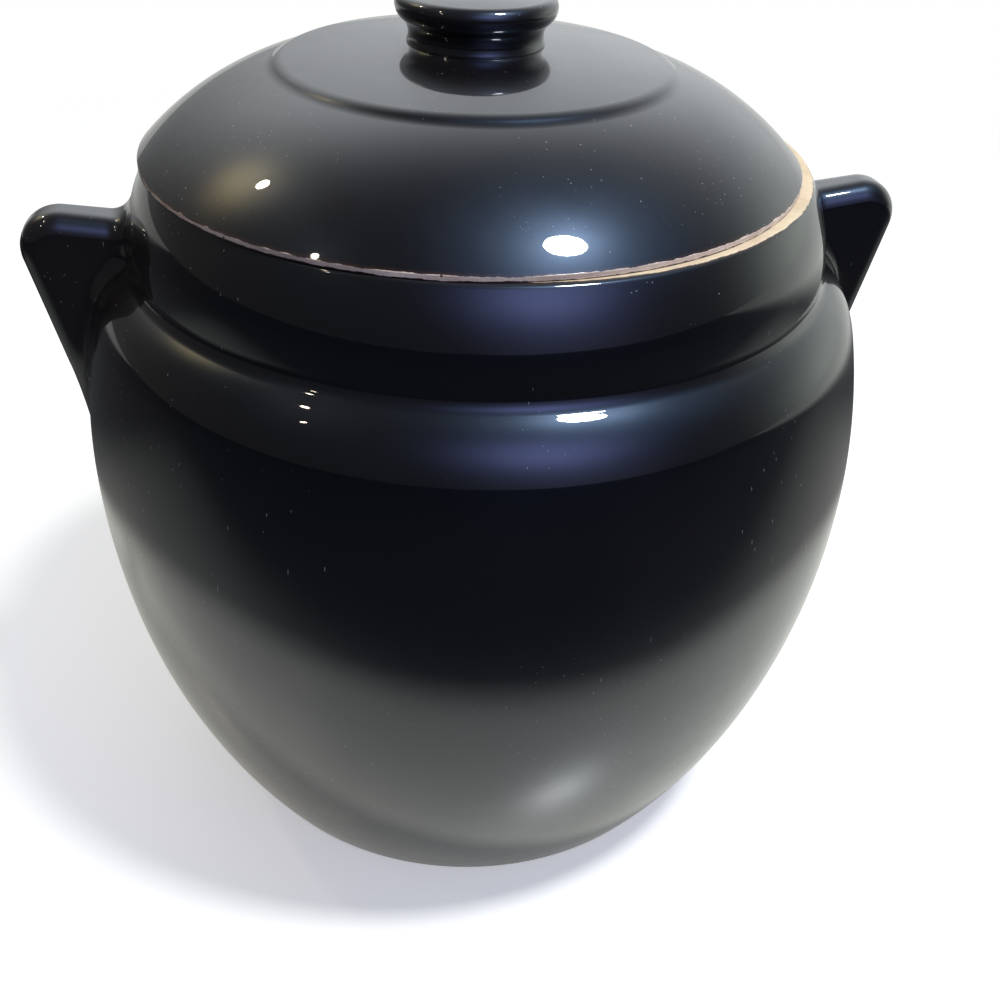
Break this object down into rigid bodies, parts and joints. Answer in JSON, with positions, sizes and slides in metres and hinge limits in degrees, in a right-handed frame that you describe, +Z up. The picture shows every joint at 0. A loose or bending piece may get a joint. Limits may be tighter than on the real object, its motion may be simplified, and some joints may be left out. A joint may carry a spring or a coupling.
{
  "type": "stoneware bean pot",
  "caption": "Bellied stoneware pot with two slab ears high on the shoulder and a loose domed lid with a low button knob, for slow baking.",
  "frame": {"origin": "centre of the standing ring, on the table", "axes": "+Z up along the pot's axis; +X through the right ear; +Y towards the back"},
  "size_m": [0.2232, 0.2036, 0.22],
  "materials": {
    "dark_glaze": "deep brown-black, very glossy glaze; bare pale clay on the rim, the lid's edge and the standing ring"
  },
  "bodies": {
    "pot": {"crock_body": "dark_glaze", "ear_handle_left": "dark_glaze", "ear_handle_right": "dark_glaze"},
    "lid": {"lid_dome": "dark_glaze", "lid_knob": "dark_glaze"}
  },
  "joints": [
    {"name": "lid_lift", "type": "slide", "parent": "pot", "child": "lid", "axis": [0, 0, 1], "range_m": [0, 0.07]}
  ]
}
